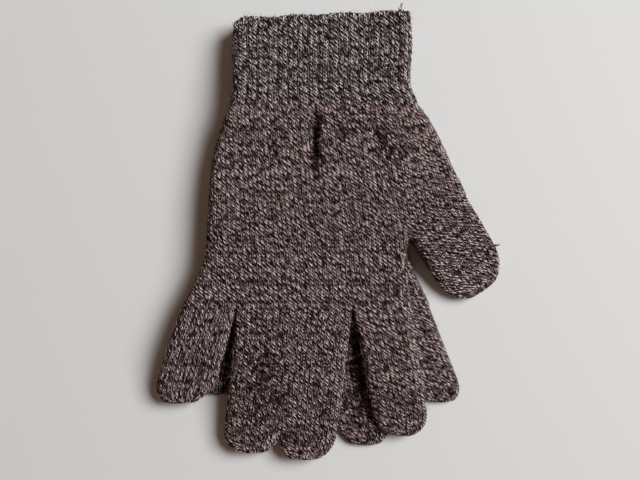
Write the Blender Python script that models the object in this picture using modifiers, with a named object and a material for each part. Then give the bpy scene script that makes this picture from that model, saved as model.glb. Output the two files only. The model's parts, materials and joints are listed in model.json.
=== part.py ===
"""Pair of knitted stretch gloves lying flat, one on the other.

+Y runs to the cuffs, -Y to the fingertips, +X to the thumbs and +Z up off the table. All the driving
sizes below are millimetres. Each glove is a hollow knitted shell: cuff, hand and five digit tubes, each
digit in a root half and a closed tip half. The fabric is WALL thick and stays open inside, from the cuff
mouth into every fingertip.
"""

import math

import bpy
from mathutils import Matrix, Vector

MM = 0.001

# fabric
WALL = 1.6
HAND_THICK = 7.6
CUFF_THICK = 8.8
CUFF_WALL = 1.3
SIDE_ROUND = 3.8
GAP = 0.3

# cuff
CUFF_START = 58.0
CUFF_LEFT = -43.1
CUFF_RIGHT = 36.4
CUFF_TOP_LEFT = 96.2
CUFF_TOP_RIGHT = 99.6
RIB_PITCH = 4.3
RIB_RELIEF = 0.3
OVERLOCK_R = 0.9
ELASTIC_R = 0.15
ELASTIC_START = 64.0
ELASTIC_PITCH = 10.0
ELASTIC_TURNS = 3

# digits
FORK = -31.0
FORK_PIN_R = 0.8
YARN_R = 0.7
THUMB_FORK = (35.3, -0.4)
THUMB_TOP = (61.0, 17.6)
THUMB = {"length": 40.2, "root": 31.2, "mid": 31.0, "tip": 17.0, "lean": -0.03, "split": 18.0}

# middle of the pair's outline, moved to the frame's origin
CENTRE = (0.66, 1.98)

# Each glove: hand sides as (y, left, right) stations, and its fingers from little to index.
UPPER = {
    "name": "upper",
    "floor": HAND_THICK + GAP,
    "cuff_floor": CUFF_THICK + GAP,
    "up": 1,
    "left": [(-31, -65.6), (-23, -61.0), (-16, -58.2), (-9, -55.0), (4, -54.4), (21, -53.5), (34, -52.2),
             (43, -50.0), (50, -47.8), (55, -45.4), (58, -43.6)],
    "right": [(-31, 36.3), (-19, 34.9), (-0.4, 35.3)],
    "outer": [(17.6, 61.0), (24.4, 57.9), (34.2, 53.5), (43.1, 49.5), (51.9, 44.6), (58, 38.6)],
    "fingers": {
        "little": {"x": -53.3, "root": 24.6, "mid": 25.0, "length": 43.1,
                   "tip": 13.5, "lean": -0.31, "split": 22.0},
        "ring": {"x": -27.6, "root": 24.2, "mid": 23.6, "length": 64.9,
                 "tip": 13.0, "lean": -0.1, "split": 28.0},
        "middle": {"x": -2.7, "root": 23.6, "mid": 24.6, "length": 68.5,
                   "tip": 13.5, "lean": -0.105, "split": 30.0},
        "index": {"x": 23.0, "root": 25.8, "mid": 25.4, "length": 56.9,
                  "tip": 13.5, "lean": 0.175, "split": 28.0},
    },
}
LOWER = {
    "name": "lower",
    "floor": 0.0,
    "cuff_floor": 0.0,
    "up": -1,
    "left": [(-31, -54.0), (-16, -51.0), (4, -50.0), (21, -49.6), (34, -49.0), (43, -47.6), (50, -46.0),
             (58, -43.2)],
    "right": [(-31, 45.6), (-19, 39.9), (-9, 36.0), (-0.4, 35.3)],
    "outer": [(17.6, 61.0), (24.4, 57.6), (34.2, 53.0), (43.1, 49.0), (51.9, 44.0), (58, 38.2)],
    "fingers": {
        "little": {"x": -41.6, "root": 23.8, "mid": 23.4, "length": 39.7,
                   "tip": 13.0, "lean": -0.2, "split": 22.0},
        "ring": {"x": -16.9, "root": 24.2, "mid": 23.6, "length": 58.0,
                 "tip": 13.0, "lean": -0.14, "split": 28.0},
        "middle": {"x": 7.7, "root": 23.8, "mid": 24.2, "length": 62.2,
                   "tip": 13.0, "lean": 0.14, "split": 30.0},
        "index": {"x": 32.7, "root": 25.0, "mid": 24.2, "length": 43.2,
                  "tip": 13.0, "lean": 0.37, "split": 28.0},
    },
}

def wipe_scene():
    for obj in list(bpy.data.objects):
        bpy.data.objects.remove(obj, do_unlink=True)
    for mesh in list(bpy.data.meshes):
        bpy.data.meshes.remove(mesh)


def material(name, colour, roughness):
    mat = bpy.data.materials.new(name)
    mat.use_nodes = True
    bsdf = mat.node_tree.nodes["Principled BSDF"]
    bsdf.inputs["Base Color"].default_value = (*colour, 1.0)
    bsdf.inputs["Roughness"].default_value = roughness
    mat.diffuse_color = (*colour, 1.0)
    return mat


def at(stations, y):
    """Straight-line value between (y, value) stations."""
    for (y0, v0), (y1, v1) in zip(stations, stations[1:]):
        if y <= y1:
            return v0 + (v1 - v0) * max(0.0, (y - y0) / (y1 - y0))
    return stations[-1][1]


def reach(point, edges):
    """Distance from a point to the nearest closed side edge."""
    p = Vector(point)
    best = 1e9
    for line in edges:
        for a, b in zip(line, line[1:]):
            a, b = Vector(a), Vector(b)
            span = b - a
            t = 0.0 if span.length == 0 else max(0.0, min(1.0, (p - a).dot(span) / span.length_squared))
            best = min(best, (p - a - span * t).length)
    return best


def across(left, right, inner):
    """Positions over a width, closer together where the sides round over."""
    squeeze = min(1.0, (right - left) / 10.0)
    near = [0.0, 1.0 * squeeze, SIDE_ROUND * squeeze]
    a, b = left + near[2], right - near[2]
    middle = [a + (b - a) * (i + 1) / (inner + 1) for i in range(inner)]
    return [left + d for d in near] + middle + [right - d for d in reversed(near)]


def finish(name, mesh, slot, pivot, collection):
    """An object for the mesh, with its origin on the axis it turns about."""
    origin = Vector(((pivot[0] - CENTRE[0]) * MM, (pivot[1] - CENTRE[1]) * MM, pivot[2] * MM))
    shift = Vector((CENTRE[0] * MM, CENTRE[1] * MM, 0.0))
    mesh.transform(Matrix.Translation(-shift - origin))
    obj = bpy.data.objects.new(name, mesh)
    obj.location = origin
    mesh.materials.append(slot)
    for poly in mesh.polygons:
        poly.use_smooth = True
    collection.objects.link(obj)
    return obj


def shell(name, rows, edges, rims, thick, floor, slot, pivot, collection, wall=WALL, relief=None):
    """A flattened fabric tube: two sheets that meet along the closed edges, given the fabric's thickness.

    rims holds a point and a direction for each open end, where the fabric's cut edge is trued flat.
    """
    half = thick / 2
    middle = floor + half
    verts, top, bottom = [], [], []
    for row in rows:
        above, below = [], []
        for x, y in row:
            bend = 1.0 - min(1.0, reach((x, y), edges) / SIDE_ROUND)
            lift = half * math.sqrt(max(0.0, 1.0 - bend * bend))
            if lift < 0.02:
                lift = 0.0
            if relief and lift:
                lift += relief(x) * min(1.0, lift / half)
            verts.append((x * MM, y * MM, (middle + lift) * MM))
            above.append(len(verts) - 1)
            verts.append((x * MM, y * MM, (middle - lift) * MM))
            below.append(len(verts) - 1)
        top.append(above)
        bottom.append(below)
    faces = []
    for i in range(len(rows) - 1):
        for j in range(len(rows[0]) - 1):
            faces.append((top[i][j], top[i][j + 1], top[i + 1][j + 1], top[i + 1][j]))
            faces.append((bottom[i][j], bottom[i + 1][j], bottom[i + 1][j + 1], bottom[i][j + 1]))
    mesh = bpy.data.meshes.new(name)
    mesh.from_pydata(verts, [], faces)
    merge(mesh)
    solid = thicken(name, mesh, wall)
    count = len(mesh.vertices)
    for i in range(count):
        outer, inner = solid.vertices[i].co, solid.vertices[i + count].co
        for point, direction in rims:
            way = Vector((*direction, 0.0)).normalized()
            off = Vector((outer.x - point[0] * MM, outer.y - point[1] * MM, 0.0))
            if abs(off.dot(way)) < 0.01 * MM and off.x > -0.01 * MM:
                inner -= way * (inner - outer).dot(way)
        solid.vertices[i + count].co = inner
    return finish(name, solid, slot, pivot, collection)


def thicken(name, mesh, wall):
    carrier = bpy.data.objects.new(name + ".sheet", mesh)
    bpy.context.scene.collection.objects.link(carrier)
    skin = carrier.modifiers.new("fabric", "SOLIDIFY")
    skin.thickness = wall * MM
    skin.offset = -1.0
    skin.use_even_offset = True
    graph = bpy.context.evaluated_depsgraph_get()
    solid = bpy.data.meshes.new_from_object(carrier.evaluated_get(graph))
    solid.name = name
    bpy.data.objects.remove(carrier)
    return solid


def merge(mesh):
    """Joins the two sheets where they meet and drops the faces that closed up."""
    import bmesh

    work = bmesh.new()
    work.from_mesh(mesh)
    bmesh.ops.remove_doubles(work, verts=work.verts, dist=0.01 * MM)
    bmesh.ops.dissolve_degenerate(work, edges=work.edges, dist=0.005 * MM)
    work.to_mesh(mesh)
    work.free()


def tube(name, paths, radius, sides, slot, pivot, collection, closed=False):
    """Round yarn along one or more paths."""
    curve = bpy.data.curves.new(name, "CURVE")
    curve.dimensions = "3D"
    curve.bevel_depth = radius * MM
    curve.bevel_resolution = sides
    curve.use_fill_caps = not closed
    for path in paths:
        spline = curve.splines.new("POLY")
        spline.points.add(len(path) - 1)
        for point, (x, y, z) in zip(spline.points, path):
            point.co = (x * MM, y * MM, z * MM, 1.0)
        spline.use_cyclic_u = closed
    carrier = bpy.data.objects.new(name + ".path", curve)
    mesh = bpy.data.meshes.new_from_object(carrier)
    mesh.name = name
    bpy.data.objects.remove(carrier)
    bpy.data.curves.remove(curve)
    return finish(name, mesh, slot, pivot, collection)


def cuff_top(x):
    """The mouth's edge climbs a little towards the thumb side."""
    share = (x - CUFF_LEFT) / (CUFF_RIGHT - CUFF_LEFT)
    return CUFF_TOP_LEFT + (CUFF_TOP_RIGHT - CUFF_TOP_LEFT) * share


def cuff(glove, slots, collection):
    name = glove["name"]
    floor = glove["cuff_floor"] + RIB_RELIEF
    thick = CUFF_THICK - 2 * RIB_RELIEF
    hinge = (0.0, CUFF_START, glove["cuff_floor"] + (CUFF_THICK if glove["up"] > 0 else 0.0))
    ribs = round((CUFF_RIGHT - CUFF_LEFT - 2 * SIDE_ROUND) / RIB_PITCH)
    xs = across(CUFF_LEFT, CUFF_RIGHT, 2 * ribs - 1)
    start = CUFF_START + GAP
    rows = []
    for share in (0.0, 0.5, 1.0):
        rows.append([(x, start + (cuff_top(x) - start) * share) for x in xs])
    edges = [[(CUFF_LEFT, start), (CUFF_LEFT, 110.0)], [(CUFF_RIGHT, start), (CUFF_RIGHT, 110.0)]]
    first = CUFF_LEFT + SIDE_ROUND
    step = (CUFF_RIGHT - CUFF_LEFT - 2 * SIDE_ROUND) / ribs

    def rib(x):
        return RIB_RELIEF * math.cos(2 * math.pi * (x - first) / step)

    rims = [((CUFF_LEFT, start), (0.0, 1.0))]
    mouth = (CUFF_TOP_LEFT - CUFF_TOP_RIGHT, CUFF_RIGHT - CUFF_LEFT)
    rims.append(((CUFF_LEFT, CUFF_TOP_LEFT), mouth))
    shell(name + "_cuff", rows, edges, rims, thick, floor, slots["rib"], hinge, collection, CUFF_WALL, rib)

    middle = glove["cuff_floor"] + CUFF_THICK / 2
    thread = thick / 2 - RIB_RELIEF - CUFF_WALL - ELASTIC_R - 0.1
    spiral = []
    for turn in range(ELASTIC_TURNS):
        loop = ring(0.0, middle, thread, CUFF_WALL + ELASTIC_R + 0.9, 6)
        for i, (x, _, z) in enumerate(loop):
            spiral.append((x, ELASTIC_START + ELASTIC_PITCH * (turn + i / len(loop)), z))
    tube(name + "_cuff_elastic", [spiral], ELASTIC_R, 0, slots["elastic"], hinge, collection)
    edge = ring(None, middle, thick / 2 - OVERLOCK_R, OVERLOCK_R, 10)
    tube(name + "_cuff_overlock", [edge], OVERLOCK_R, 1, slots["yarn"], hinge, collection, True)
    x, y = CUFF_RIGHT - 3.4, cuff_top(CUFF_RIGHT - 3.4) + GAP + 2 * OVERLOCK_R + GAP + YARN_R
    end = [(x - 3.5, y, middle + 2.0), (x - 1.5, y + 0.1, middle + 2.3), (x + 1.5, y + 0.2, middle + 2.0)]
    tube(name + "_cuff_yarn_end", [end], YARN_R, 1, slots["yarn"], hinge, collection)


def ring(y, middle, rise, inset, count):
    """Points round the cuff's flattened section: rise above the middle, inset from the cuff's sides."""
    low, high = CUFF_LEFT + inset, CUFF_RIGHT - inset
    side = max(1.0, SIDE_ROUND - inset)

    def level(x):
        return (cuff_top(x) + GAP + OVERLOCK_R) if y is None else y

    top = [(low + side + (high - low - 2 * side) * i / count, 1) for i in range(count + 1)]
    points = [(x, level(x), middle + rise) for x, _ in top]
    for angle in (60, 30, 0, -30, -60):
        a = math.radians(angle)
        x = high - side + side * math.cos(a)
        points.append((x, level(x), middle + rise * math.sin(a)))
    points += [(x, level(x), middle - rise) for x, _ in reversed(top)]
    for angle in (-60, -30, 0, 30, 60):
        a = math.radians(angle)
        x = low + side - side * math.cos(a)
        points.append((x, level(x), middle + rise * math.sin(a)))
    return points


def hand(glove, slots, collection):
    name = glove["name"]
    left, right, outer = glove["left"], glove["right"], glove["outer"]
    ys = [-31, -24, -16, -9, -4.4, -0.4, 1.2, 4.0, 9.0, 13.5, 16.2, 17.6, 21, 28, 35, 43, 50, 55, 58]
    slope = (THUMB_TOP[0] - THUMB_FORK[0]) / (THUMB_TOP[1] - THUMB_FORK[1])
    rows = []
    for y in ys:
        if y <= THUMB_FORK[1]:
            end = at(right, y)
        elif y < THUMB_TOP[1]:
            end = THUMB_FORK[0] + (y - THUMB_FORK[1]) * slope
        else:
            end = at(outer, y)
        rows.append([(x, float(y)) for x in across(at(left, y), end, 5)])
    edges = [[(x, y) for y, x in side] for side in (left, right, outer)]
    pivot = (0.0, 0.0, glove["floor"])
    across_thumb = (THUMB_TOP[0] - THUMB_FORK[0], THUMB_TOP[1] - THUMB_FORK[1])
    rims = [((-100.0, FORK), (0.0, 1.0)), ((-100.0, CUFF_START), (0.0, 1.0)),
            (THUMB_FORK, (across_thumb[1], -across_thumb[0]))]
    shell(name + "_hand", rows, edges, rims, HAND_THICK, glove["floor"], slots["knit"], pivot, collection)

    middle = glove["floor"] + HAND_THICK / 2
    rise = HAND_THICK / 2 - WALL - 0.12
    order = list(glove["fingers"].items())
    for (one, a), (two, b) in zip(order, order[1:]):
        x = (a["x"] + a["root"] / 2 + b["x"] - b["root"] / 2) / 2
        pin = [(x, FORK + 1.4, middle - rise), (x, FORK + 1.4, middle + rise)]
        tube(f"{name}_crotch_{one}_{two}", [pin], FORK_PIN_R, 2, slots["yarn"], pivot, collection)
    x, y = THUMB_FORK[0] + 0.75, THUMB_FORK[1] - 2.3
    bar = [(x, y, middle - 1.9), (x + 0.5, y, middle), (x, y, middle + 1.9)]
    tube(name + "_crotch_thumb", [bar], 0.45, 1, slots["yarn"], pivot, collection)


def digit(name, shape, origin, turn, split, glove, slot, collection):
    """A digit tube in two halves. It runs along -Y from its origin, turned about +Z by the angle given."""
    length, tip = shape["length"], shape["tip"]
    floor = glove["floor"]
    cos, sin = math.cos(turn), math.sin(turn)

    def place(x, s):
        return (origin[0] + x * cos + s * sin, origin[1] + x * sin - s * cos)

    def half_width(s):
        share = min(1.0, s / 22.0)
        wide = shape["root"] + (shape["mid"] - shape["root"]) * share
        past = max(0.0, (s - (length - tip)) / tip)
        return wide / 2 * math.sqrt(max(0.0, 1.0 - past ** 2.3))

    def side(sign, s):
        return place(shape["lean"] * s + sign * half_width(s), s)

    round_over = [length - tip * (1 - math.sin(math.radians(a))) for a in (25, 48, 66, 80, 90)]
    halves = {
        "base": [GAP, split * 0.5, split - GAP / 2],
        "tip": [split + GAP / 2] + [s for s in round_over if s > split + 2.0],
    }
    if round_over[0] - split > 12:
        halves["tip"].insert(1, (split + round_over[0]) / 2)
    stops = sorted(set(halves["base"] + halves["tip"] + [length * i / 40 for i in range(40)]))
    edges = [[side(-1, s) for s in stops], [side(1, s) for s in stops]]
    top = floor + (HAND_THICK if glove["up"] > 0 else 0.0)
    for half, stops in halves.items():
        s0 = 0.0 if half == "base" else split
        pivot = (*place(shape["lean"] * s0, s0), top)
        rows = []
        for s in stops:
            w = half_width(s)
            xs = across(-w, w, 1)
            rows.append([place(shape["lean"] * s + x, s) for x in reversed(xs)])
        rims = [(place(-300.0, s), (-sin, cos)) for s in (stops[0], stops[-1]) if s < length]
        shell(f"{name}_{half}", rows, edges, rims, HAND_THICK, floor, slot, pivot, collection)


def build_glove(glove, slots, collection):
    cuff(glove, slots, collection)
    hand(glove, slots, collection)
    for finger, shape in glove["fingers"].items():
        name = f"{glove['name']}_{finger}"
        digit(name, shape, (shape["x"], FORK), 0.0, shape["split"], glove, slots["knit"], collection)
    root = ((THUMB_FORK[0] + THUMB_TOP[0]) / 2, (THUMB_FORK[1] + THUMB_TOP[1]) / 2)
    turn = math.atan2(THUMB_TOP[1] - THUMB_FORK[1], THUMB_TOP[0] - THUMB_FORK[0])
    digit(glove["name"] + "_thumb", THUMB, root, turn, THUMB["split"], glove, slots["knit"], collection)

    middle = glove["floor"] + HAND_THICK / 2
    s = 25.5
    cos, sin = math.cos(turn), math.sin(turn)
    x = THUMB["lean"] * s + THUMB["mid"] / 2 + 0.6
    spot = (root[0] + x * cos + s * sin, root[1] + x * sin - s * cos)
    end = [(spot[0] - 0.1, spot[1] + 1.6, middle - 0.2), (spot[0] + 0.5, spot[1], middle + 0.6),
           (spot[0] + 1.2, spot[1] - 1.4, middle + 0.4)]
    hinge_z = glove["floor"] + (HAND_THICK if glove["up"] > 0 else 0.0)
    split = THUMB["split"]
    pivot = (root[0] + split * sin, root[1] - split * cos, hinge_z)
    tube(glove["name"] + "_thumb_yarn_end", [end], YARN_R, 1, slots["yarn"], pivot, collection)


def main():
    wipe_scene()
    collection = bpy.data.collections.new("knitted_gloves")
    bpy.context.scene.collection.children.link(collection)
    slots = {
        "knit": material("knit", (0.082, 0.056, 0.052), 0.95),
        "rib": material("rib", (0.086, 0.064, 0.062), 0.95),
        "yarn": material("yarn", (0.06, 0.042, 0.038), 0.95),
        "elastic": material("elastic", (0.03, 0.028, 0.028), 0.6),
    }
    build_glove(LOWER, slots, collection)
    build_glove(UPPER, slots, collection)


main()
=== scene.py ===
"""Looks of the pair of knitted gloves: every stitch is a loop of marl yarn laid over the frame."""

import json
import math

import bpy
import numpy as np
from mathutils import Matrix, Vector


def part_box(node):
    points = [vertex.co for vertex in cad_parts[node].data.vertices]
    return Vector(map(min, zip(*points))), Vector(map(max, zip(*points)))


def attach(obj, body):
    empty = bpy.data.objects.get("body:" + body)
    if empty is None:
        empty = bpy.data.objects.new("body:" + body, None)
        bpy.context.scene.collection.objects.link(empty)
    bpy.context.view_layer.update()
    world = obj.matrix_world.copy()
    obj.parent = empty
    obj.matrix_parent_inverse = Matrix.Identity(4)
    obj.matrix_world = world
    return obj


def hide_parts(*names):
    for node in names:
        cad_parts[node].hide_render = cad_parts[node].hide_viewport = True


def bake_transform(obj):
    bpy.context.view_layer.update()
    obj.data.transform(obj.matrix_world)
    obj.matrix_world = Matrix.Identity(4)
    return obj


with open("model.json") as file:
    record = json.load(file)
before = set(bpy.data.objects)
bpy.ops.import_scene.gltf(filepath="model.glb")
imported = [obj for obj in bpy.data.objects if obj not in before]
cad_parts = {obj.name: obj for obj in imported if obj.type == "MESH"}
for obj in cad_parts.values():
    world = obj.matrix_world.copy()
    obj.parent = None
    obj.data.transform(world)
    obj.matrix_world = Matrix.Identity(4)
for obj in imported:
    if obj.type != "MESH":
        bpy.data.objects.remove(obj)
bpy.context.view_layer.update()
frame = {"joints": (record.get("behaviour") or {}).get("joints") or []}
JOINT = {j["name"]: j for j in frame["joints"]}
MM = 0.001
TAU = 2 * math.pi
rng = np.random.default_rng(7)

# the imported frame's origin, in the millimetre coordinates that the outlines below use
CENTRE = np.array([0.66, 1.98, 0.0])
FORK_Y = JOINT["upper_index_root"]["pos_m"][1] * 1000 + CENTRE[1]
WRIST_Y = JOINT["upper_cuff_fold"]["pos_m"][1] * 1000 + CENTRE[1]
THUMB_FORK = np.array([35.3, -0.4])
THUMB_TOP = np.array([61.0, 17.6])

# rounding of the side edges of the hand and the digits
ROUND = 3.8
# side rounding, as a share of ROUND, where two fingers press together
TOUCH = 0.22
QUARTER = ROUND * math.pi / 2
SPARE = QUARTER - ROUND

# yarn used by one stitch, which is also one turn of the plies
STITCH_YARN = 7.0
# yarn radius, half height of a loop in courses, half depth of a loop
PALM_YARN = (0.40, 0.75, 0.26)
RIB_YARN = (0.43, 0.78, 0.28)
# steps along a loop and sides of its yarn, for fabric that shows and fabric that hardly does
SHOWN_LOOP, HIDDEN_LOOP, HIDDEN_PALM_LOOP = (8, 6), (8, 4), (7, 4)
# depth of the backing under the surface
HAND_BACK, DIGIT_BACK, RIB_BACK = 1.15, 1.1, 1.25
# loose fibres for each stitch, fibres along one cuff edge, size of a fibre
SHOWN_FUZZ, HIDDEN_FUZZ, DIGIT_FUZZ, RIB_FUZZ = 1.5, 0.6, 2.2, 2.5
EDGE_FUZZ = 420
FUZZ_SIZE, EDGE_FUZZ_SIZE = 0.8, 1.0

# darker areas, partly painted shade: x, y, half width, half height, change of the pale ply
# upper glove: a darker ring finger, then painted shade along the pleat and in the dimple near the cuff
UPPER_TONE_AND_SHADE = [(-29.5, -65.0, 9.0, 26.0, -0.15), (-6.6, 37.0, 1.5, 11.0, -0.5),
                 (22.0, 42.0, 2.2, 6.0, -0.15)]
# lower glove: painted shade on the middle and little fingers where they show in the gaps between the
# upper fingers; the middle finger's yarn is also darker
LOWER_TONE_AND_SHADE = [(14.0, -62.0, 6.0, 18.0, -0.30), (-44.0, -62.0, 5.0, 14.0, -0.20)]
# height between the two gloves
BETWEEN = 9.0

# folds and dimples in the upper palm: x at a height y, slope, waviness, half width, rise,
# y range where it fades in, y range where it fades out
CREASES = [
    (-6.6, 37.0, 0.03, 0.5, 1.75, -3.6, (24, 44), (50, 56)),
    (-11.6, 37.0, 0.03, 0.5, 3.4, 0.55, (20, 36), (52, 58)),
    (-1.6, 37.0, 0.03, 0.5, 3.4, 0.40, (20, 36), (52, 58)),
    (19.4, 47.5, -0.40, 0.0, 1.7, -1.5, (30, 40), (49, 56)),
    (-26.0, 50.0, -0.10, 0.0, 2.2, -0.7, (40, 50), (54, 58)),
]

# the hand's outline as (y, x): little-finger side, thumb side below the fork and above the thumb
LEFT = {
    "upper": [(-31, -65.6), (-23, -61.3), (-16, -58.0), (-9, -55.4), (4, -54.4), (21, -53.5),
              (34, -52.2), (43, -50.0), (50, -47.8), (55, -45.6), (58, -44.4)],
    "lower": [(-31, -54.0), (-16, -51.0), (4, -50.0), (21, -49.6), (34, -49.0), (43, -47.6),
              (50, -46.0), (58, -43.6)],
}
RIGHT = {
    "upper": [(-31, 36.3), (-19, 34.9), (-8, 34.2), (-0.4, 35.3)],
    "lower": [(-31, 45.6), (-19, 39.9), (-9, 36.0), (-0.4, 35.3)],
}
OUTER = {
    "upper": [(17.6, 61.0), (24.4, 57.9), (34.2, 53.3), (43.1, 49.0), (51.9, 44.0), (58, 39.6)],
    "lower": [(17.6, 61.0), (24.4, 57.6), (34.2, 53.0), (43.1, 48.6), (51.9, 43.4), (58, 39.0)],
}
# digits: x of the root, width at the root, width further on, length, length of the rounded tip,
# sideways lean for each millimetre
FINGERS = {
    "upper": {"little": (-53.3, 24.6, 26.8, 45.0, 13.5, -0.325),
              "ring": (-27.6, 27.2, 26.8, 67.2, 13.0, -0.114),
              "middle": (-3.0, 26.8, 26.4, 70.3, 13.5, -0.118),
              "index": (23.0, 25.8, 25.4, 59.0, 13.5, 0.175)},
    "lower": {"little": (-41.6, 23.8, 23.4, 41.5, 13.0, -0.20),
              "ring": (-16.9, 24.2, 23.6, 59.5, 13.0, -0.14),
              "middle": (7.7, 23.8, 24.2, 64.8, 13.0, 0.14),
              "index": (32.7, 25.0, 24.6, 45.3, 13.0, 0.40)},
}
THUMB = (0.0, 31.2, 31.0, 40.2, 17.0, -0.03)
FINGER_WALES, THUMB_WALES, COURSE = 28, 34, 1.5
# start and end of the root's fold, the cut between the two pieces, start and end of the next fold
LITTLE_FOLDS = ((0.0, 14.0), 14.6, (15.0, 29.0))
FINGER_FOLDS = ((0.0, 18.0), 19.0, (20.0, 36.0))
THUMB_FOLDS = ((0.0, 11.0), 11.5, (12.0, 24.0))
# a side's rounding: share of ROUND at the root, start and end of its growth to all of ROUND
FREE, FORKED, PRESSED = (1.0, 0, 1), (TOUCH, 2, 20), (TOUCH, 38, 60)
SIDES = {"little": (FREE, FORKED), "ring": (FORKED, PRESSED), "middle": (PRESSED, FORKED),
         "index": (FORKED, FREE)}

CUFF = {"left": -43.1, "right": 36.4, "top_left": 96.2, "top_right": 99.6,
        "wales": 76, "courses": 25}
FLOOR = {g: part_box(g + "_hand")[0].z * 1000 for g in ("lower", "upper")}
HAND = 7.6
CUFF_Z = {g: tuple(c.z * 1000 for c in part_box(g + "_cuff")) for g in ("lower", "upper")}


def line(stations, y):
    s = np.array(stations, float)
    return np.interp(y, s[:, 0], s[:, 1])


def ramp(x, a, b):
    t = np.clip((x - a) / (b - a), 0, 1)
    return t * t * (3 - 2 * t)


# ---------------------------------------------------------------- surfaces

def swell(x, y, seed):
    """Slow unevenness of a relaxed fabric, in millimetres."""
    a = np.sin(x * 0.11 + seed) * np.sin(y * 0.083 + 1.3 * seed)
    b = np.sin(x * 0.23 - y * 0.06 + 2.1 * seed) * 0.5
    c = np.sin(y * 0.19 + x * 0.05 + 0.7 * seed) * 0.4
    return a + b + c


def creases(x, y):
    """The pleat, the lips beside it and two softer dimples that the gathered wrist leaves."""
    out = np.zeros(np.shape(x))
    for at, level, slope, wavy, wide, rise, start, end in CREASES:
        middle = at + slope * (y - level) + wavy * np.sin(y * 0.25)
        fade = ramp(y, *start) * (1 - ramp(y, *end))
        out += rise * fade * np.exp(-((x - middle) / wide) ** 2)
    return out


def flat_ring(share, wide, half, left, right):
    """x and rise (-1 to 1) at a share of the way round a flattened tube, from its left, over the top."""
    arc_l, arc_r = (math.pi / 2 * np.sqrt((r ** 2 + half ** 2) / 2) for r in (left, right))
    side = arc_l + arc_r + 2 * wide - left - right
    p = np.mod(share, 1.0) * 2 * side
    top = p <= side
    d = np.where(top, p, 2 * side - p)
    a = np.clip(d / arc_l, 0, 1) * math.pi / 2
    b = np.clip((side - d) / arc_r, 0, 1) * math.pi / 2
    x = -wide + left + (d - arc_l)
    x = np.where(d < arc_l, -wide + left * (1 - np.cos(a)), x)
    x = np.where(d > side - arc_r, wide - right * (1 - np.cos(b)), x)
    return x, np.minimum(np.sin(a), np.sin(b)) * np.where(top, 1.0, -1.0)


class Hand:
    """One face of the hand: u counts wales from the little-finger side, v courses from the wrist."""

    ROWS_UP, ROWS_DOWN, MAIN, THUMB = 39, 20, 52, 16
    # heights y, with the first wale's x and the width of a wale there
    LEVELS = [-31, -0.4, 58]
    FIRST = {"upper": [-67.8, -70.4, -68.7], "lower": [-56.2, -70.4, -68.7]}
    PITCH = {"upper": [2.044, 2.055, 1.82], "lower": [2.0, 2.055, 1.82]}
    # x of the gusset's last wale at the wrist, and how far past the thumb's top it ends
    GUSSET_X, GUSSET_PAST = 48.4, (1.9, 1.3)
    skew = 0.12

    def __init__(self, glove, face):
        self.glove, self.face = glove, face
        self.forks = [(*THUMB_FORK, ROUND)]
        order = list(FINGERS[glove].values())
        for a, b in zip(order, order[1:]):
            middle = (a[0] + a[1] / 2 + b[0] - b[1] / 2) / 2
            self.forks.append((middle, FORK_Y, TOUCH * ROUND))

    def plan(self, u, v):
        to_thumb = WRIST_Y + (THUMB_FORK[1] - WRIST_Y) * v / self.ROWS_UP
        to_fingers = THUMB_FORK[1] + (FORK_Y - THUMB_FORK[1]) * (v - self.ROWS_UP) / self.ROWS_DOWN
        y = np.where(v <= self.ROWS_UP, to_thumb, to_fingers)
        first = np.interp(y, self.LEVELS, self.FIRST[self.glove])
        pitch = np.interp(y, self.LEVELS, self.PITCH[self.glove])
        x = first + pitch * np.minimum(u, self.MAIN)
        share = np.clip((u - self.MAIN) / self.THUMB, 0, 1.2)
        fall = np.clip(v / self.ROWS_UP, -0.2, 1.2)
        past_x, past_y = self.GUSSET_PAST
        ox = self.GUSSET_X + (THUMB_TOP[0] + past_x - self.GUSSET_X) * fall
        oy = WRIST_Y + (THUMB_TOP[1] + past_y - WRIST_Y) * fall
        return x + (ox - x) * share, y + (oy - y) * share

    def sides(self, y):
        # between the fork and the thumb's top the gusset runs on into the thumb
        right = np.where(y < THUMB_FORK[1], line(RIGHT[self.glove], y), 200.0)
        right = np.where(y > THUMB_TOP[1], line(OUTER[self.glove], y), right)
        return line(LEFT[self.glove], y), right

    def inside(self, u, v):
        x, y = self.plan(u, v)
        left, right = self.sides(y)
        return (x > left - SPARE + 0.1) & (x < right + SPARE - 0.1)

    def point(self, u, v):
        xu, y = self.plan(u, v)
        left, right = self.sides(y)
        a = np.clip((xu - left + SPARE) / QUARTER, 0, 1)
        b = np.clip((right + SPARE - xu) / QUARTER, 0, 1)
        x = np.where(a < 1, left + ROUND * (1 - np.cos(a * math.pi / 2)), xu)
        x = np.where(b < 1, right - ROUND * (1 - np.cos(b * math.pi / 2)), x)
        rise = np.sin(a * math.pi / 2) * np.sin(b * math.pi / 2)
        for fork_x, fork_y, reach in self.forks:
            d = np.clip(np.hypot(x - fork_x, y - fork_y) / reach, 0, 1)
            rise = rise * np.sqrt(np.maximum(1 - (1 - d) ** 2, 0.0))
        # towards the wrist the hand grows to the cuff's thickness
        up = ramp(y, 42, 58)
        low = FLOOR[self.glove] + up * (CUFF_Z[self.glove][0] - FLOOR[self.glove])
        high = FLOOR[self.glove] + HAND
        high = high + up * (CUFF_Z[self.glove][1] - 0.3 - high)
        z = (low + high) / 2 + self.face * (high - low) / 2 * rise
        if self.face > 0 and self.glove == "upper":
            fade = 1 - ramp(y, 50, 58)
            z = z + rise * (creases(x, y) + 0.26 * swell(x, y, 1.0) * ramp(y, -31, -18) * fade)
            z = z + rise * 0.7 * ramp(y, 30, 48) * fade
        return np.stack([x, y, z], -1)


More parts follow.
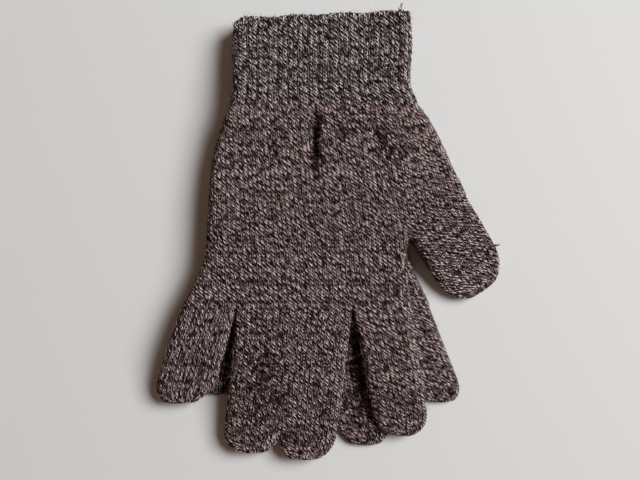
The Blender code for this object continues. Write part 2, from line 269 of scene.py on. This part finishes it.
class Tube:
    """A digit: u counts wales round it from its left side over the top, v courses from its root."""

    # distance over which the width changes, and length of the end where both faces close
    TAPER, CLOSING = 22.0, 5.0

    def __init__(self, glove, shape, origin, turn, wales):
        self.root, self.mid, self.length, self.tip, self.lean = shape[1:]
        self.glove, self.origin, self.turn, self.wales = glove, origin, turn, wales
        self.courses = int(round((self.length - 1.2) / COURSE))
        self.skew = 0.12
        self.round = (FREE, FREE)
        # thinning and dropping of the empty tube, and the shares of its length where they grow
        self.sag = (1.8, 5.4 if glove == "upper" else 1.8)
        self.bend = (0.25, 1.0)

    def place(self, x, s):
        cos, sin = math.cos(self.turn), math.sin(self.turn)
        return self.origin[0] + x * cos + s * sin, self.origin[1] + x * sin - s * cos

    def half_width(self, s):
        wide = self.root + (self.mid - self.root) * np.clip(s / self.TAPER, 0, 1)
        past = np.clip((s - (self.length - self.tip)) / self.tip, 0, 1)
        return wide / 2 * np.sqrt(np.maximum(1 - past ** 2.3, 0.0))

    def point(self, u, v):
        s = np.clip(v * COURSE, -2.0, self.length - 0.3)
        w = np.maximum(self.half_width(s), 0.4)
        end = np.clip((s - (self.length - self.CLOSING)) / self.CLOSING, 0, 1)
        flat = ramp(s / self.length, *self.bend)
        half = (HAND / 2 - self.sag[0] * flat) * np.sqrt(np.maximum(1 - end ** 2, 0.02))
        left, right = (np.minimum(ROUND * (f + (1 - f) * ramp(s, a, b)), w * 0.98)
                       for f, a, b in self.round)
        x, rise = flat_ring(u / self.wales, w, half, left, right)
        px, py = self.place(x + self.lean * s, s)
        z = FLOOR[self.glove] + HAND / 2 + half * rise - self.sag[1] * flat
        z = z + np.maximum(rise, 0.0) * 0.22 * swell(px, py, 2.0) * ramp(s, 0, 10)
        return np.stack([px, py, z], -1)


class Cuff:
    """The rib tube: u counts wales from the left side over the top, v courses up from the wrist."""

    # depth of a purl wale, share of the thickness lost at the mouth, drop of the mouth
    VALLEY, THIN, DROP = 0.55, 0.2, {"upper": 2.6, "lower": 0.85}
    skew = 0.12

    def __init__(self, glove):
        self.low, self.high = CUFF_Z[glove]
        self.wales, self.courses = CUFF["wales"], CUFF["courses"]
        self.glove = glove

    def point(self, u, v):
        left = CUFF["left"] - 0.4 * np.cos(v * 0.35) * (v / self.courses)
        right = CUFF["right"] + 0.5 * np.cos(v * 0.3 + 1)
        left = left - 1.0 * (1 - ramp(v, 0, 5))
        right = right + 2.6 * (1 - ramp(v, 0, 6))
        half = (self.high - self.low) / 2 - 0.05
        edge = ROUND + 0.2
        x, rise = flat_ring(u / self.wales, (right - left) / 2, half, edge, edge)
        x = x + (right + left) / 2
        rib = 0.5 - 0.5 * np.cos(math.pi * u)
        flat = ramp(v / self.courses, 0.15, 1.0)
        lift = (half - self.VALLEY * (1 - rib)) * rise * (1 - self.THIN * flat)
        z = (self.high + self.low) / 2 + lift - self.DROP[self.glove] * flat
        share = (x - CUFF["left"]) / (CUFF["right"] - CUFF["left"])
        mouth = CUFF["top_left"] + (CUFF["top_right"] - CUFF["top_left"]) * share
        mouth = mouth + 0.35 * np.sin(x * 0.31) - 1.6 * (1 - ramp(x, CUFF["left"], CUFF["left"] + 5))
        y = WRIST_Y + (mouth - WRIST_Y) * v / self.courses
        return np.stack([x, y, z], -1)


# ---------------------------------------------------------------- yarn

def surface(shape, u, v, out=1.0):
    """Points and outward normals of a surface."""
    e = 0.02
    p = shape.point(u, v)
    du = shape.point(u + e, v) - shape.point(u - e, v)
    dv = shape.point(u, v + e) - shape.point(u, v - e)
    n = np.cross(dv, du) * out
    n /= np.maximum(np.linalg.norm(n, axis=-1, keepdims=True), 1e-9)
    return p, n


def tone_and_painted_shade(p):
    """Where the pale ply shows more (+) or less (-); the lowered places are partly painted shade, in
    creases and in the gaps between fingers.
    """
    out = np.zeros(len(p))
    for spots, here in ((UPPER_TONE_AND_SHADE, p[:, 2] > BETWEEN), (LOWER_TONE_AND_SHADE, p[:, 2] < BETWEEN)):
        for x, y, wide, tall, amount in spots:
            fall = np.exp(-((p[:, 0] - x) / wide) ** 2 - ((p[:, 1] - y) / tall) ** 2)
            out += here * amount * fall
    return out


def corners(a0, a1, b0, b1):
    """Two coordinates at the four corners of each quad, in the order of its vertices."""
    return np.stack([np.stack(c, -1) for c in ((a0, b0), (a1, b0), (a1, b1), (a0, b1))], -2)


class Mesh:
    """Collects yarn, backing and fuzz into one piece."""

    # low and high edge of each slot's band in the bake atlas: yarn, backing, fuzz
    BANDS = ((0.0, 0.80), (0.805, 0.965), (0.97, 1.0))
    # empty edge of a cell, as a share of it
    MARGIN = 0.06

    def __init__(self):
        self.verts, self.faces, self.uvs, self.cells, self.slots = [], [], [], [], []
        self.count = 0
        self.used = [0, 0, 0]

    def add(self, verts, quads, uv, cell, place, slot):
        """quads, with their uv, atlas cell number and place inside that cell (0 to 1)."""
        cell = np.broadcast_to(cell, quads.shape[:-1]).reshape(-1)
        self.verts.append(verts.reshape(-1, 3))
        self.faces.append(quads.reshape(-1, 4) + self.count)
        self.uvs.append(uv.reshape(-1, 2))
        self.cells.append((cell + self.used[slot], place.reshape(-1, 4, 2)))
        self.slots.append(np.full(len(cell), slot, np.int32))
        self.used[slot] += int(cell.max()) + 1
        self.count += verts.reshape(-1, 3).shape[0]

    def atlas(self):
        """Bake coordinates: each short run of yarn has its own cell, in rows across its slot's band."""
        out = []
        for (cell, place), slots in zip(self.cells, self.slots):
            low, high = self.BANDS[slots[0]] if self.used[1] else (0.0, 1.0)
            total = self.used[slots[0]]
            across = math.ceil(math.sqrt(total / (high - low)))
            rows = math.ceil(total / across)
            corner = np.stack([cell % across, cell // across], -1)[:, None, :]
            spot = (corner + self.MARGIN + (1 - 2 * self.MARGIN) * place) / np.array([across, rows])
            out.append(spot * np.array([1.0, high - low]) + np.array([0.0, low]))
        return np.concatenate(out)

    def build(self, name, materials):
        verts = (np.concatenate(self.verts) - CENTRE) * MM
        faces = np.concatenate(self.faces).astype(np.int32)
        mesh = bpy.data.meshes.new(name)
        mesh.vertices.add(len(verts))
        mesh.vertices.foreach_set("co", verts.astype(np.float32).ravel())
        mesh.loops.add(faces.size)
        mesh.loops.foreach_set("vertex_index", faces.ravel())
        mesh.polygons.add(len(faces))
        mesh.polygons.foreach_set("loop_start", np.arange(0, faces.size, 4, dtype=np.int32))
        mesh.polygons.foreach_set("loop_total", np.full(len(faces), 4, np.int32))
        mesh.polygons.foreach_set("material_index", np.concatenate(self.slots))
        mesh.polygons.foreach_set("use_smooth", np.ones(len(faces), bool))
        for layer, uv in (("yarn", np.concatenate(self.uvs)), ("OFBake", self.atlas())):
            mesh.uv_layers.new(name=layer).data.foreach_set("uv", uv.astype(np.float32).ravel())
        mesh.update(calc_edges=True)
        # tone: change of the pale ply at each point, partly painted shade in creases and between fingers
        tone = mesh.attributes.new("tone", "FLOAT", "POINT")
        tone.data.foreach_set("value", tone_and_painted_shade(verts / MM + CENTRE).astype(np.float32))
        obj = bpy.data.objects.new(name, mesh)
        bpy.context.scene.collection.objects.link(obj)
        for m in materials:
            mesh.materials.append(m)
        return obj


def sweep(mesh, centres, normals, radius, sides, along):
    """Round yarn along many paths, each with an extra point at both ends to set its end directions."""
    tangent = centres[:, 2:] - centres[:, :-2]
    tangent /= np.maximum(np.linalg.norm(tangent, axis=-1, keepdims=True), 1e-9)
    c, n = centres[:, 1:-1], normals[:, 1:-1]
    side = np.cross(tangent, n)
    side /= np.maximum(np.linalg.norm(side, axis=-1, keepdims=True), 1e-9)
    n = np.cross(side, tangent)
    angle = np.arange(sides) / sides * TAU + TAU / 8
    ring = n[:, :, None, :] * np.cos(angle)[:, None] + side[:, :, None, :] * np.sin(angle)[:, None]
    size = np.broadcast_to(np.asarray(radius, float), c.shape[:2])[:, :, None, None]
    verts = c[:, :, None, :] + ring * size
    count, k = c.shape[:2]
    path = np.arange(count)[:, None, None]
    seg = np.arange(k - 1)[None, :, None]
    j = np.arange(sides)[None, None, :]
    j2 = (j + 1) % sides
    base = path * (k * sides) + seg * sides
    quads = np.stack([base + j, base + sides + j, base + sides + j2, base + j2], -1)
    shape = quads.shape[:3]
    va, vb = np.broadcast_to(j / sides, shape), np.broadcast_to((j + 1) / sides, shape)
    ua, ub = (np.broadcast_to(a[:, :, None], shape) for a in (along[:, :-1], along[:, 1:]))
    # segments of yarn that share one atlas cell
    run = 8
    cell = np.broadcast_to(path * math.ceil((k - 1) / run) + seg // run, shape)
    fa, fb = (np.broadcast_to((seg % run + e) / run, shape) for e in (0, 1))
    mesh.add(verts, quads, corners(ua, ub, va, vb), cell, corners(fa, fb, va, vb), 0)


def knit(mesh, shape, u, v, yarn, loop, out=1.0, up=-1.0):
    """One loop of yarn for each stitch centre (u, v). up is the way the loop's two legs close."""
    radius, tall, deep = yarn
    steps, sides = loop
    lean = 0.35
    t = np.linspace(-1 / steps, 1 + 1 / steps, steps + 3) * TAU
    jitter = rng.normal(0, 0.035, (2, len(u)))
    uu = u[:, None] + t / TAU - 0.5 + lean * np.sin(2 * t) + jitter[0][:, None] * np.sin(t / 2) ** 2
    vv = v[:, None] + up * (tall * np.cos(t)) + jitter[1][:, None] * np.sin(t / 2) ** 2
    uu = uu + out * shape.skew * (vv - v[:, None])
    p, n = surface(shape, uu, vv, out)
    p = p - n * (radius + deep + deep * np.cos(2 * t))[:, None]
    # each course starts at its own place on the yarn, so that the flecks differ from row to row
    skip = np.modf(np.abs(np.sin(np.floor(v) * 12.9898 + 4.1) * 43758.5453))[0]
    skip = 40.0 * np.floor(skip * 97.0) + 0.22 * (skip - 0.5)
    along = ((skip[:, None] + u[:, None] + (t / TAU - 0.5)) * STITCH_YARN)[:, 1:-1]
    thick = radius * (1 + 0.10 * np.sin(along * 0.9) + 0.05 * np.sin(along * 2.3))
    sweep(mesh, p, n, thick, sides, along)


def backing(mesh, shape, u, v, sink, out=1.0):
    """A near-black sheet just under the loops: painted shade for the inside of the fabric."""
    uu, vv = np.meshgrid(u, v, indexing="ij")
    p, n = surface(shape, uu, vv, out)
    p = p - n * sink
    a, b = len(u), len(v)
    idx = np.arange(a * b).reshape(a, b)
    quads = np.stack([idx[:-1, :-1], idx[:-1, 1:], idx[1:, 1:], idx[1:, :-1]], -1)
    uv = np.stack([uu, vv], -1)
    uv = np.stack([uv[:-1, :-1], uv[:-1, 1:], uv[1:, 1:], uv[1:, :-1]], -2)
    if out < 0:
        quads, uv = quads[..., ::-1], uv[..., ::-1, :]
    low, high = uv.min((0, 1, 2)), uv.max((0, 1, 2))
    mesh.add(p, quads, uv, 0, (uv - low) / (high - low), 1)


def fuzz(mesh, shape, u, v, count, out=1.0, size=FUZZ_SIZE):
    """Loose fibre ends standing off the yarn."""
    # points along a fibre, half its width at the root, lowest height that it may reach
    steps, half_width, lowest = 4, 0.032, 0.05
    pick = rng.integers(0, len(u), count)
    uu = u[pick] + rng.uniform(-0.5, 0.5, count)
    vv = v[pick] + rng.uniform(-0.5, 0.5, count)
    p, n = surface(shape, uu, vv, out)
    way = rng.normal(0, 1, (count, 3))
    way -= n * np.sum(way * n, -1, keepdims=True)
    way /= np.maximum(np.linalg.norm(way, axis=-1, keepdims=True), 1e-9)
    bend = rng.normal(0, 1, (count, 3))
    long = rng.gamma(3.0, 0.55, count) * size
    s = np.linspace(0, 1, steps)[None, :, None]
    lift = rng.uniform(0.15, 0.75, (count, 1, 1))
    path = p[:, None] - n[:, None] * 0.35 + long[:, None, None] * (
        way[:, None] * s + n[:, None] * (lift * np.sin(s * 2.2)) + bend[:, None] * 0.22 * s ** 2)
    path = np.maximum(path, np.array([-1e9, -1e9, lowest]))
    side = np.cross(way, n)[:, None] * (half_width * (1.15 - s))
    verts = np.stack([path - side, path + side], 2)
    i = np.arange(count)[:, None] * (steps * 2)
    a = np.arange(steps - 1)[None, :] * 2
    quads = np.stack([i + a, i + a + 2, i + a + 3, i + a + 1], -1)
    uv = np.zeros(quads.shape + (2,))
    uv[..., 0] = rng.uniform(0, 1, count)[:, None, None]
    near, far = (np.broadcast_to((np.arange(steps - 1) + e) / (steps - 1), quads.shape[:2])
                 for e in (0, 1))
    spots = corners(near, far, np.zeros(near.shape), np.ones(near.shape))
    mesh.add(verts, quads, uv, np.arange(count)[:, None], spots, 2)


# ---------------------------------------------------------------- materials

class Graph:
    """A material's nodes, with short ways to add the kinds that are used here."""

    def __init__(self, name):
        self.material = bpy.data.materials.new(name)
        self.material.use_nodes = True
        self.tree = self.material.node_tree
        self.bsdf = self.tree.nodes["Principled BSDF"].inputs
        # along and around the yarn
        self.yarn = self.node("ShaderNodeUVMap", uv_map="yarn").outputs[0]

    def node(self, kind, **settings):
        n = self.tree.nodes.new(kind)
        for key, value in settings.items():
            setattr(n, key, value)
        return n

    def link(self, output, socket):
        self.tree.links.new(output, socket)

    def fill(self, sockets, **values):
        for key, value in values.items():
            sockets[key.replace("_", " ")].default_value = value

    def maths(self, operation, *values):
        """A maths node. Each value is a number or another node's output."""
        n = self.node("ShaderNodeMath", operation=operation)
        for socket, value in zip(n.inputs, values):
            if isinstance(value, (int, float)):
                socket.default_value = value
            else:
                self.link(value, socket)
        return n.outputs[0]

    def noise(self, source, scale, detail, dimensions="3D"):
        n = self.node("ShaderNodeTexNoise", noise_dimensions=dimensions)
        self.fill(n.inputs, Scale=scale, Detail=detail)
        self.link(source, n.inputs["W" if dimensions == "1D" else "Vector"])
        return n.outputs["Fac"]

    def wave(self, direction, scale, distortion):
        n = self.node("ShaderNodeTexWave", wave_type="BANDS", bands_direction=direction)
        self.fill(n.inputs, Scale=scale, Distortion=distortion)
        self.link(self.yarn, n.inputs["Vector"])
        return n.outputs["Fac"]

    def span(self, source, to_min, to_max, from_min=0.0, from_max=1.0):
        n = self.node("ShaderNodeMapRange")
        self.fill(n.inputs, From_Min=from_min, From_Max=from_max, To_Min=to_min, To_Max=to_max)
        self.link(source, n.inputs["Value"])
        return n.outputs[0]

    def split(self, source):
        n = self.node("ShaderNodeSeparateXYZ")
        self.link(source, n.inputs[0])
        return n.outputs[0], n.outputs[1]

    def colours(self, source, stops):
        """A colour ramp through (position, colour) stops."""
        n = self.node("ShaderNodeValToRGB")
        elements = n.color_ramp.elements
        for element, (position, colour) in zip(elements, (stops[0], stops[-1])):
            element.position, element.color = position, (*colour, 1)
        for position, colour in stops[1:-1]:
            elements.new(position).color = (*colour, 1)
        self.link(source, n.inputs[0])
        return n.outputs[0]

    def bump(self, height, strength, distance):
        n = self.node("ShaderNodeBump")
        self.fill(n.inputs, Strength=strength, Distance=distance)
        self.link(height, n.inputs["Height"])
        self.link(n.outputs[0], self.bsdf["Normal"])


def marl(name, dark, brown, pale):
    """Marl yarn: dark, brown and pale plies wound round each other, with fine fibre streaks."""
    g = Graph(name)
    along, around = g.split(g.yarn)
    # turns of the plies, with a slow wander, and the place within one turn
    slow = g.noise(along, 0.055, 1.0, "1D")
    wander = g.maths("MULTIPLY_ADD", slow, 0.9, g.maths("MULTIPLY", along, 1.0 / STITCH_YARN))
    phase = g.maths("ADD", wander, g.maths("ADD", around, 1.245))
    wrap = g.maths("FRACT", phase)
    # how much pale ply shows: changes slowly along the yarn and over the fabric, and drops with the tone
    # attribute, which is partly painted shade in creases and between fingers
    patch = g.noise(g.maths("ADD", along, 531.0), 0.17, 1.0, "1D")
    field = g.noise(g.node("ShaderNodeTexCoord").outputs["Object"], 400.0, 0.0)
    tone = g.node("ShaderNodeAttribute", attribute_name="tone").outputs["Fac"]
    calm = g.maths("MULTIPLY_ADD", field, 0.8, 0.25)
    amount = g.maths("ADD", g.maths("MULTIPLY_ADD", patch, 0.7, calm), tone)
    level = g.span(amount, 0.0, 1.0, 0.70, 1.04)

    def stripes(colour):
        faint = [tint * (0.50 * c + 0.50 * b)
                 for c, b, tint in zip(colour, brown, (1.0, 0.85, 0.84))]
        return g.colours(wrap, [
            (0.0, dark), (0.18, dark), (0.205, colour), (0.345, colour), (0.37, brown),
            (0.52, brown), (0.56, dark), (0.72, dark), (0.75, faint), (0.84, faint),
            (0.87, brown), (1.0, dark)])

    pick = g.node("ShaderNodeMix", data_type="RGBA")
    g.link(level, pick.inputs["Factor"])
    g.link(stripes([c * 1.5 for c in brown]), pick.inputs["A"])
    g.link(stripes(pale), pick.inputs["B"])
    # fibres along the ply
    stretch = g.node("ShaderNodeCombineXYZ")
    g.link(g.maths("MULTIPLY", along, 1.1), stretch.inputs[0])
    g.link(g.maths("MULTIPLY", phase, 9.0), stretch.inputs[1])
    fibre = g.noise(stretch.outputs[0], 1.0, 3.0)
    gain = g.maths("MULTIPLY", g.span(fibre, 0.6, 1.4), g.span(amount, 0.7, 1.2, 0.7, 1.2))
    shade = g.node("ShaderNodeVectorMath", operation="SCALE")
    g.link(pick.outputs["Result"], shade.inputs[0])
    g.link(gain, shade.inputs["Scale"])
    g.link(shade.outputs[0], g.bsdf["Base Color"])
    g.link(g.span(fibre, 0.78, 1.0), g.bsdf["Roughness"])
    g.bump(fibre, 0.5, 0.0002)
    g.fill(g.bsdf, Sheen_Weight=0.02, Sheen_Roughness=0.5, Specular_IOR_Level=0.05)
    return g.material


def shade_backing_material(name):
    """Painted shade for the inside, seen between the loops and through the mouth: near-black with faint
    flecks, and rows of bumps.
    """
    g = Graph(name)
    # near-black colours: painted shade, not the yarn's own colour
    stops = [(0.46, (0.012, 0.007, 0.0065)), (0.56, (0.03, 0.020, 0.018)),
             (0.80, (0.055, 0.042, 0.038))]
    g.link(g.colours(g.noise(g.yarn, 2.2, 3.0), stops), g.bsdf["Base Color"])
    g.bump(g.wave("Y", 0.32, 1.5), 0.6, 0.0006)
    g.fill(g.bsdf, Roughness=0.95, Specular_IOR_Level=0.1)
    return g.material


def fibre_material(name):
    """Loose fibres, each of one tone between brown and pale."""
    g = Graph(name)
    stops = [(0.3, (0.05, 0.036, 0.032)), (0.95, (0.55, 0.50, 0.47))]
    g.link(g.colours(g.split(g.yarn)[0], stops), g.bsdf["Base Color"])
    g.fill(g.bsdf, Roughness=0.9, Specular_IOR_Level=0.2)
    return g.material


def elastic_material(name):
    """Thin covered rubber thread."""
    g = Graph(name)
    wave = g.wave("DIAGONAL", 1.6, 0.0)
    stops = [(0.0, (0.014, 0.012, 0.012)), (1.0, (0.05, 0.045, 0.045))]
    g.link(g.colours(wave, stops), g.bsdf["Base Color"])
    g.link(g.span(wave, 0.5, 0.8), g.bsdf["Roughness"])
    g.bump(wave, 0.4, 0.0001)
    return g.material


PALM = marl("marl_palm", (0.007, 0.0019, 0.0018), (0.029, 0.0112, 0.0104), (0.88, 0.730, 0.715))
RIB = marl("marl_rib", (0.008, 0.0034, 0.0034), (0.028, 0.0160, 0.0160), (0.84, 0.745, 0.745))
# the backing's material: painted shade inside the fabric
SHADE_BACKING = shade_backing_material("painted_shade_backing")
FIBRE = fibre_material("loose_fibres")
ELASTIC = elastic_material("covered_elastic")


# ---------------------------------------------------------------- pieces

def frame_point(x, y, z):
    return tuple((np.array([x, y, z]) - CENTRE) * MM)


def grid(u0, u1, v0, v1):
    uu, vv = np.meshgrid(np.arange(u0, u1) + 0.5, np.arange(v0, v1) + 0.5, indexing="ij")
    return uu.ravel(), vv.ravel()


def hand_pieces(glove):
    """The palm and the thumb's gusset, on both faces."""
    for face, word in ((1, "top"), (-1, "under")):
        shape = Hand(glove, face)
        shown = (glove == "upper") == (face > 0)
        loop, fibres = (SHOWN_LOOP, SHOWN_FUZZ) if shown else (HIDDEN_PALM_LOOP, HIDDEN_FUZZ)
        # part, its first and last wale, its courses, points across and down its backing
        for part, u0, u1, rows, across, down in (
                ("palm", 0, shape.MAIN, shape.ROWS_UP + shape.ROWS_DOWN, 79, 89),
                ("gusset", shape.MAIN, shape.MAIN + shape.THUMB, shape.ROWS_UP, 25, 59)):
            u, v = grid(u0, u1, 0, rows)
            keep = shape.inside(u, v)
            u, v = u[keep], v[keep]
            mesh = Mesh()
            knit(mesh, shape, u, v, PALM_YARN, loop, out=face)
            backing(mesh, shape, np.linspace(u0, u1, across), np.linspace(0, rows, down),
                    HAND_BACK, face)
            fuzz(mesh, shape, u, v, int(len(u) * fibres), face)
            obj = mesh.build(f"{glove}_{part}_{word}_knit", [PALM, SHADE_BACKING, FIBRE])
            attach(obj, glove + "_hand")
            gaps = ("crotch_little_ring", "crotch_ring_middle", "crotch_middle_index", "crotch_thumb")
            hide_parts(glove + "_hand", *(f"{glove}_{gap}" for gap in gaps))


def digit_pieces(glove, digit, shape, fold_a, cut, fold_b):
    """A digit in two halves, the root half and the end half."""
    loop = SHOWN_LOOP if glove == "upper" else HIDDEN_LOOP
    around = np.linspace(0, shape.wales, 2 * shape.wales + 1)
    cut_row = int(round(cut / COURSE))
    for half, v0, v1 in (("root", 0, cut_row), ("end", cut_row, shape.courses)):
        u, v = grid(0, shape.wales, v0, v1)
        mesh = Mesh()
        knit(mesh, shape, u, v, PALM_YARN, loop)
        last = v1 if half == "root" else (shape.length - 0.35) / COURSE
        backing(mesh, shape, around, np.linspace(v0, last, 2 * (v1 - v0)), DIGIT_BACK)
        fuzz(mesh, shape, u, v, int(len(u) * DIGIT_FUZZ))
        obj = mesh.build(f"{glove}_{digit}_{half}_knit", [PALM, SHADE_BACKING, FIBRE])
        bodies = [glove + "_hand", f"{glove}_{digit}_base", f"{glove}_{digit}_tip"]
        (a, b), pair = (fold_a, bodies[:2]) if half == "root" else (fold_b, bodies[1:])
        z = FLOOR[glove] + HAND / 2
        start, end = (frame_point(*shape.place(0.0, s), z) for s in (a, b))
        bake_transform(obj)
        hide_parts(f"{glove}_{digit}_{'base' if half == 'root' else 'tip'}")


def cuff_piece(glove):
    """The cuff's ribbing."""
    shape = Cuff(glove)
    loop = SHOWN_LOOP if glove == "upper" else HIDDEN_LOOP
    u, v = grid(0, shape.wales, 0, shape.courses)
    mesh = Mesh()
    knit(mesh, shape, u, v, RIB_YARN, loop, out=-1.0, up=1.0)
    around = np.linspace(0, shape.wales, 2 * shape.wales + 1)
    backing(mesh, shape, around, np.linspace(0, shape.courses, 30), RIB_BACK, -1.0)
    fuzz(mesh, shape, u, v, int(len(u) * RIB_FUZZ), -1.0)
    obj = mesh.build(glove + "_cuff_knit", [RIB, SHADE_BACKING, FIBRE])
    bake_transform(obj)
    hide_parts(glove + "_cuff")


def strand(mesh, shape, u, v, above, radius, sides, first):
    """One long yarn laid above a surface. first is the distance along the yarn where it starts."""
    p, normal = surface(shape, u, v, -1.0)
    p = p + normal * above[:, None]
    along = np.concatenate([[0.0], np.cumsum(np.linalg.norm(np.diff(p, axis=0), axis=1))]) + first
    sweep(mesh, p[None], normal[None], radius, sides, along[None, 1:-1])


def cuff_trim(glove):
    """The edge yarn with its wrapping stitches, and the elastic thread wound inside the cuff."""
    shape = Cuff(glove)
    top = shape.courses
    mesh = Mesh()
    u = np.linspace(-0.25, shape.wales + 0.25, shape.wales * 4 + 3)
    # two yarns round the mouth: courses past the last one, height above the surface, radius
    for past, above, radius in ((0.05, -0.75, 0.5), (-0.45, -0.95, 0.45)):
        v = top + past + 0.10 * np.sin(u * TAU * 0.5)
        strand(mesh, shape, u, v, above + 0.05 * np.cos(u * 3.1), radius, 5, radius * 100)
    # a slanting stitch over them at each wale
    k = np.arange(shape.wales) + 0.5
    t = np.linspace(-0.15, 1.15, 9)
    uu = k[:, None] + 0.42 * (t - 0.5) + rng.normal(0, 0.06, (len(k), 1))
    vv = top - 0.9 + 1.45 * np.sin(np.clip(t, 0, 1) * math.pi * 0.62) + rng.normal(0, 0.08, (len(k), 1))
    p, normal = surface(shape, uu, vv, -1.0)
    p = p - normal * (0.30 + 1.5 * t ** 2)[None, :, None]
    along = k[:, None] * 7.0 + t[None, :] * 3.4
    sweep(mesh, p, normal, 0.40, 5, along[:, 1:-1])
    fuzz(mesh, shape, k, np.full(len(k), top + 0.2), EDGE_FUZZ, -1.0, EDGE_FUZZ_SIZE)
    obj = mesh.build(glove + "_cuff_edge_yarn", [RIB, SHADE_BACKING, FIBRE])
    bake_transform(obj)
    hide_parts(glove + "_cuff_overlock")
    # the elastic: a spiral inside the cuff, from its first course up, below the ribbing
    mesh = Mesh()
    turns, first, climb, above, radius = 3, 4.0, 18.0, -2.1, 0.15
    u = np.linspace(0, turns * shape.wales, turns * 160)
    strand(mesh, shape, u, first + climb * u / u[-1], np.full(len(u), above), radius, 6, 0.0)
    obj = mesh.build(glove + "_elastic_thread", [ELASTIC])
    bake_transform(obj)
    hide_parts(glove + "_cuff_elastic")


def yarn_end(glove, node_name, body, piece, away, drop):
    """A short tail of yarn that has come loose into a few frayed strands."""
    low, high = (np.array(v) * 1000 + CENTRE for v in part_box(node_name))
    middle = (low + high) / 2 - np.array([0.0, 0.0, drop])
    mesh = Mesh()
    count, steps = 7, 7
    s = np.linspace(-0.12, 1.12, steps)[None, :, None]
    way = np.array(away, float)
    way /= np.linalg.norm(way)
    spread = rng.normal(0, 0.5, (count, 1, 3))
    curl = rng.normal(0, 0.35, (count, 1, 3))
    long = rng.uniform(0.7, 1.3, (count, 1, 1))
    base = middle - way * 1.0 + rng.normal(0, 0.16, (count, 1, 3))
    p = base + long * s * (way + spread * s) + curl * s ** 2
    normal = np.broadcast_to(np.array([0.0, 0.0, 1.0]), p.shape)
    along = rng.uniform(0, 50, (count, 1)) + np.linspace(0, 3, steps)[None]
    thin = 0.22 * (1.1 - np.clip(s[..., 0], 0, 1) * 0.7)
    sweep(mesh, p, normal, thin[:, 1:-1], 5, along[:, 1:-1])
    obj = mesh.build(piece, [RIB])
    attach(obj, body)
    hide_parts(node_name)


for glove in ("lower", "upper"):
    upper = glove == "upper"
    hand_pieces(glove)
    cuff_piece(glove)
    for digit, data in FINGERS[glove].items():
        little = digit == "little"
        tube = Tube(glove, data, (data[0], FORK_Y), 0.0, FINGER_WALES)
        tube.skew = -0.08 if little else 0.15
        tube.round = SIDES[digit]
        digit_pieces(glove, digit, tube, *(LITTLE_FOLDS if little else FINGER_FOLDS))
    across = THUMB_TOP - THUMB_FORK
    turn = math.atan2(across[1], across[0])
    tube = Tube(glove, THUMB, (THUMB_TOP + THUMB_FORK) / 2, turn, THUMB_WALES)
    tube.sag = (2.2, 7.2 if upper else 2.4)
    tube.bend = (0.0, 0.85)
    digit_pieces(glove, "thumb", tube, *THUMB_FOLDS)
    cuff_trim(glove)
    yarn_end(glove, glove + "_thumb_yarn_end", glove + "_thumb_tip", glove + "_thumb_loose_end",
             (0.9, 0.45, -0.1), 4.0 if upper else 1.4)
    yarn_end(glove, glove + "_cuff_yarn_end", glove + "_cuff", glove + "_cuff_loose_end",
             (0.5, 0.85, -0.1), 2.4 if upper else 0.8)

# ---------------------------------------------------------------- stage

TABLE_HALF, TABLE_COLOUR, TABLE_ROUGHNESS = 3, (0.80, 0.79, 0.775, 1), 0.7
ROOM_COLOUR, ROOM_STRENGTH = (1.0, 0.64, 0.46, 1), 0.115
WALL_COLOUR = (0.62, 0.60, 0.585, 1)
LAMP_AT, LAMP_SIZE, LAMP_POWER, LAMP_COLOUR = (1.70, 0.72, 1.86), 1.40, 78.5, (0.93, 0.975, 1.0)
LENS, SENSOR = 50, 36
# the picture's middle, and its width measured at a height above the table
VIEW_X, VIEW_Y, VIEW_WIDTH, VIEW_HEIGHT = -0.0049, -0.0033, 0.284, 0.012

floor_mesh = bpy.data.meshes.new("floor")
square = [(x * TABLE_HALF, y * TABLE_HALF, 0) for x, y in ((-1, -1), (1, -1), (1, 1), (-1, 1))]
floor_mesh.from_pydata(square, [], [(0, 1, 2, 3)])
floor = bpy.data.objects.new("floor", floor_mesh)
bpy.context.scene.collection.objects.link(floor)
paper = bpy.data.materials.new("pale_table")
paper.use_nodes = True
paper_inputs = paper.node_tree.nodes["Principled BSDF"].inputs
paper_inputs["Base Color"].default_value = TABLE_COLOUR
paper_inputs["Roughness"].default_value = TABLE_ROUGHNESS
floor_mesh.materials.append(paper)

scene = bpy.context.scene
scene.view_settings.view_transform = "Standard"
world = bpy.data.worlds.new("soft_room")
scene.world = world
world.use_nodes = True
nodes, link = world.node_tree.nodes, world.node_tree.links.new
room = nodes["Background"]
room.inputs["Color"].default_value = ROOM_COLOUR
room.inputs["Strength"].default_value = ROOM_STRENGTH
# the camera sees a pale wall where there is no table
wall = nodes.new("ShaderNodeBackground")
wall.inputs["Color"].default_value = WALL_COLOUR
either = nodes.new("ShaderNodeMixShader")
link(nodes.new("ShaderNodeLightPath").outputs["Is Camera Ray"], either.inputs[0])
link(room.outputs[0], either.inputs[1])
link(wall.outputs[0], either.inputs[2])
link(either.outputs[0], nodes["World Output"].inputs[0])

lamp = bpy.data.lights.new("window", "AREA")
lamp.size, lamp.energy, lamp.color = LAMP_SIZE, LAMP_POWER, LAMP_COLOUR
window = bpy.data.objects.new("window", lamp)
scene.collection.objects.link(window)
window.location = LAMP_AT
window.rotation_euler = (-Vector(LAMP_AT)).to_track_quat("-Z", "Y").to_euler()

camera = bpy.data.cameras.new("camera")
camera.lens = LENS
camera.sensor_width = SENSOR
cam = bpy.data.objects.new("camera", camera)
scene.collection.objects.link(cam)
cam.location = (VIEW_X, VIEW_Y, VIEW_WIDTH * LENS / SENSOR + VIEW_HEIGHT)
scene.camera = cam
